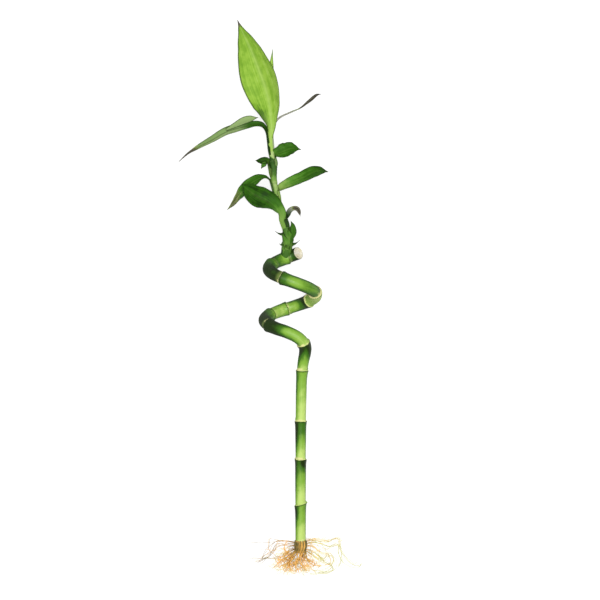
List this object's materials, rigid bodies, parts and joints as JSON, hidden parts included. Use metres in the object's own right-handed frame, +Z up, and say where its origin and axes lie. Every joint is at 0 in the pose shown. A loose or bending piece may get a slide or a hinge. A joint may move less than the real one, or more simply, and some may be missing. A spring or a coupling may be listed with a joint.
{
  "type": "bare-rooted lucky bamboo plant",
  "caption": "Lucky bamboo plant lying on its side: a ringed green cane that winds in a spiral, bare roots at its foot and a leafy shoot from its top node, with no vase.",
  "frame": {"origin": "on the surface the plant lies on, under the middle of its outline seen from above", "axes": "+Y along the plant from the roots to the top leaf, +Z up from the surface, +X to the right for someone who looks down on it with the leaves away from them"},
  "size_m": [0.1586, 0.5026, 0.0586],
  "materials": {
    "cane": "satin",
    "shoot": "satin",
    "leaf": "satin",
    "young_leaf": "satin",
    "root": "matte"
  },
  "bodies": {
    "root": {"cane": "cane", "roots": "root", "shoot_stem": "shoot", "leaf_small_right": "leaf", "leaf_lower_left": "leaf", "leaf_middle_left": "leaf", "leaf_middle_right": "leaf", "leaf_upper_left": "leaf", "leaf_upper_right": "leaf", "leaf_arching_left": "leaf", "leaf_edge_right": "leaf", "leaf_spear": "young_leaf", "leaf_top": "young_leaf"}
  },
  "joints": []
}
